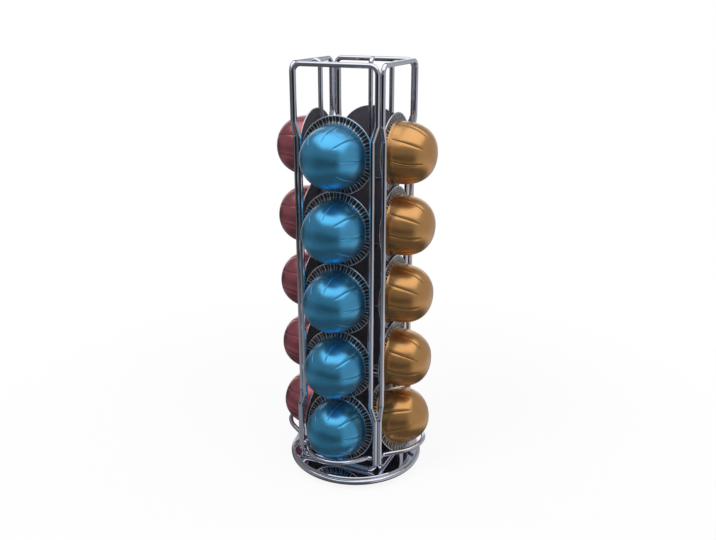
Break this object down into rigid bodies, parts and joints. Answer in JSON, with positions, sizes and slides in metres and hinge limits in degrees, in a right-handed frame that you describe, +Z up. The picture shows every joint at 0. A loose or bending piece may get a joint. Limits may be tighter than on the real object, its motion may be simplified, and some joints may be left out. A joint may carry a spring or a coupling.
{
  "type": "coffee capsule dispenser",
  "caption": "Revolving chrome wire tower that stores domed coffee capsules in gravity-fed columns on a round mirror base.",
  "frame": {"origin": "on the table, under the centre of the tower", "axes": "+Z up along the turning axis, -Y out of the front column, +X out of the right column"},
  "size_m": [0.1357, 0.1356, 0.3519],
  "materials": {
    "chrome_wire": "polished",
    "mirror_plate": "mirror polished",
    "bearing_steel": "ground",
    "base_plastic": "matt",
    "pad_rubber": "matt",
    "cage_brass": "satin",
    "blue_shell": "satin anodised",
    "gold_shell": "satin anodised",
    "red_shell": "satin anodised",
    "green_shell": "satin anodised",
    "lid_foil": "dark satin foil"
  },
  "bodies": {
    "base": {"lower_base": "base_plastic", "non_slip_pads": "pad_rubber", "pivot_rivet": "bearing_steel"},
    "cage": {"ball_cage": "cage_brass", "bearing_balls": "bearing_steel"},
    "tower": {"mirror_plate": "mirror_plate", "edge_ring": "chrome_wire", "upper_race": "bearing_steel", "front_frame": "chrome_wire", "front_guide_wire": "chrome_wire", "front_cradle": "chrome_wire", "right_frame": "chrome_wire", "right_guide_wire": "chrome_wire", "right_cradle": "chrome_wire", "back_frame": "chrome_wire", "back_guide_wire": "chrome_wire", "back_cradle": "chrome_wire", "left_frame": "chrome_wire", "left_guide_wire": "chrome_wire", "left_cradle": "chrome_wire"},
    "front_stack": {"front_top_capsule_shell": "blue_shell", "front_top_capsule_lid": "lid_foil", "front_second_capsule_shell": "blue_shell", "front_second_capsule_lid": "lid_foil", "front_third_capsule_shell": "blue_shell", "front_third_capsule_lid": "lid_foil", "front_fourth_capsule_shell": "blue_shell", "front_fourth_capsule_lid": "lid_foil"},
    "front_lowest": {"front_lowest_capsule_shell": "blue_shell", "front_lowest_capsule_lid": "lid_foil"},
    "right_stack": {"right_top_capsule_shell": "gold_shell", "right_top_capsule_lid": "lid_foil", "right_second_capsule_shell": "gold_shell", "right_second_capsule_lid": "lid_foil", "right_third_capsule_shell": "gold_shell", "right_third_capsule_lid": "lid_foil", "right_fourth_capsule_shell": "gold_shell", "right_fourth_capsule_lid": "lid_foil"},
    "right_lowest": {"right_lowest_capsule_shell": "gold_shell", "right_lowest_capsule_lid": "lid_foil"},
    "back_stack": {"back_top_capsule_shell": "green_shell", "back_top_capsule_lid": "lid_foil", "back_second_capsule_shell": "green_shell", "back_second_capsule_lid": "lid_foil", "back_third_capsule_shell": "green_shell", "back_third_capsule_lid": "lid_foil", "back_fourth_capsule_shell": "green_shell", "back_fourth_capsule_lid": "lid_foil"},
    "back_lowest": {"back_lowest_capsule_shell": "green_shell", "back_lowest_capsule_lid": "lid_foil"},
    "left_stack": {"left_top_capsule_shell": "red_shell", "left_top_capsule_lid": "lid_foil", "left_second_capsule_shell": "red_shell", "left_second_capsule_lid": "lid_foil", "left_third_capsule_shell": "red_shell", "left_third_capsule_lid": "lid_foil", "left_fourth_capsule_shell": "red_shell", "left_fourth_capsule_lid": "lid_foil"},
    "left_lowest": {"left_lowest_capsule_shell": "red_shell", "left_lowest_capsule_lid": "lid_foil"}
  },
  "joints": [
    {"name": "tower_spin", "type": "hinge", "parent": "base", "child": "tower", "pos_m": [0, 0, 0.0118], "axis": [0, 0, 1], "continuous": true},
    {"name": "cage_spin", "type": "hinge", "parent": "base", "child": "cage", "pos_m": [0, 0, 0.0064], "axis": [0, 0, 1], "continuous": true},
    {"name": "front_tip", "type": "hinge", "parent": "tower", "child": "front_lowest", "pos_m": [0, -0.02347, 0.06435], "axis": [-1, 0, 0], "range_deg": [0, 50]},
    {"name": "front_lift", "type": "slide", "parent": "tower", "child": "front_stack", "axis": [0, 0, 1], "range_m": [0, 0.0241]},
    {"name": "right_tip", "type": "hinge", "parent": "tower", "child": "right_lowest", "pos_m": [0.00691, 0, 0.06939], "axis": [0, -1, 0], "range_deg": [0, 27]},
    {"name": "right_lift", "type": "slide", "parent": "tower", "child": "right_stack", "axis": [0, 0, 1], "range_m": [0, 0.0241]},
    {"name": "back_tip", "type": "hinge", "parent": "tower", "child": "back_lowest", "pos_m": [0, 0.01901, 0.06396], "axis": [1, 0, 0], "range_deg": [0, 43]},
    {"name": "back_lift", "type": "slide", "parent": "tower", "child": "back_stack", "axis": [0, 0, 1], "range_m": [0, 0.0241]},
    {"name": "left_tip", "type": "hinge", "parent": "tower", "child": "left_lowest", "pos_m": [-0.02149, 0, 0.06309], "axis": [0, 1, 0], "range_deg": [0, 45]},
    {"name": "left_lift", "type": "slide", "parent": "tower", "child": "left_stack", "axis": [0, 0, 1], "range_m": [0, 0.0241]}
  ],
  "couplings": [
    {"joint": "cage_spin", "follows": "tower_spin", "ratio": 0.5},
    {"joint": "front_lift", "follows": "front_tip", "m_per_rad": 0.027502},
    {"joint": "right_lift", "follows": "right_tip", "m_per_rad": 0.05093},
    {"joint": "back_lift", "follows": "back_tip", "m_per_rad": 0.031979},
    {"joint": "left_lift", "follows": "left_tip", "m_per_rad": 0.030558}
  ]
}
